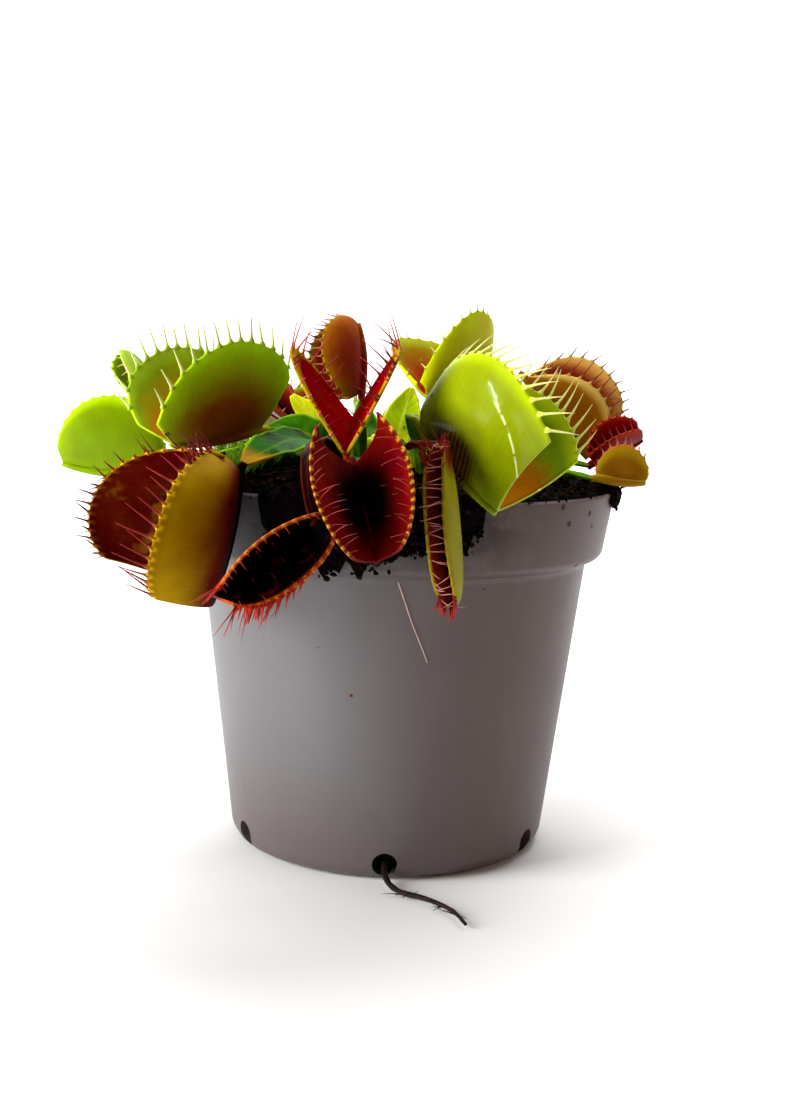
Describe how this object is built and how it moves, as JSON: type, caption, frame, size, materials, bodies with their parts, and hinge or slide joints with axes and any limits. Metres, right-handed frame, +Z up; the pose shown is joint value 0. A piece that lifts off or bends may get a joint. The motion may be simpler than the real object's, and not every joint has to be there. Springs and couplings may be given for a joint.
{
  "type": "potted venus flytrap",
  "caption": "Venus flytrap houseplant with open and half closed toothed traps on winged leaf stalks, rooted in peat in a small tapered plastic nursery pot.",
  "frame": {"origin": "centre of the pot's flat base, on the pot's axis", "axes": "+Z up along the pot's axis, -Y towards the side that the picture shows, +X to that view's right"},
  "size_m": [0.1105, 0.1289, 0.1],
  "materials": {
    "pot_plastic": "satin grey, slightly worn",
    "peat": "damp dark peat with brown crumbs",
    "leaf_green": "smooth glossy leaf",
    "leaf_olive": "smooth leaf, olive to orange brown",
    "trap_lime": "glossy lime green, blushed maroon near the midrib",
    "trap_green": "satin green with a red blush",
    "trap_olive": "satin olive brown outside, dark red inside",
    "trap_maroon": "dark maroon, wet sheen inside",
    "trap_crimson": "deep red with yellow orange margins",
    "trap_tan": "olive tan with a pinkish orange rim",
    "crown": "pale green rhizome",
    "root": "black wiry root"
  },
  "bodies": {
    "root": {"pot": "pot_plastic", "soil": "peat", "blade_upright": "leaf_green", "blade_dark": "leaf_green", "blade_centre": "leaf_green", "blade_right": "leaf_green", "petiole_left_far": "leaf_green", "petiole_left_upper": "leaf_green", "petiole_left_lower": "leaf_green", "petiole_front_left": "leaf_olive", "petiole_centre_upper": "leaf_green", "petiole_front_centre": "leaf_green", "petiole_front_right": "leaf_olive", "petiole_right_large": "leaf_green", "petiole_back_right": "leaf_green", "petiole_back_centre": "leaf_green", "petiole_right_back": "leaf_green", "petiole_right_red": "leaf_green", "petiole_right_rim": "leaf_green", "petiole_left_small": "leaf_olive", "petiole_left_back": "leaf_green", "petiole_rear_left": "leaf_green", "petiole_rear_middle": "leaf_green", "petiole_rear_right": "leaf_green", "trap_left_far": "trap_lime", "trap_left_upper": "trap_green", "trap_left_lower": "trap_olive", "trap_front_left": "trap_maroon", "trap_centre_upper": "trap_crimson", "trap_front_centre": "trap_crimson", "trap_front_right": "trap_maroon", "trap_right_large": "trap_lime", "trap_back_right": "trap_lime", "trap_back_centre": "trap_olive", "trap_right_back": "trap_tan", "trap_right_red": "trap_crimson", "trap_right_rim": "trap_tan", "trap_left_small": "trap_maroon", "trap_left_back": "trap_green", "trap_rear_left": "trap_green", "trap_rear_middle": "trap_green", "trap_rear_right": "trap_olive", "crown": "crown", "root": "root"}
  },
  "joints": []
}
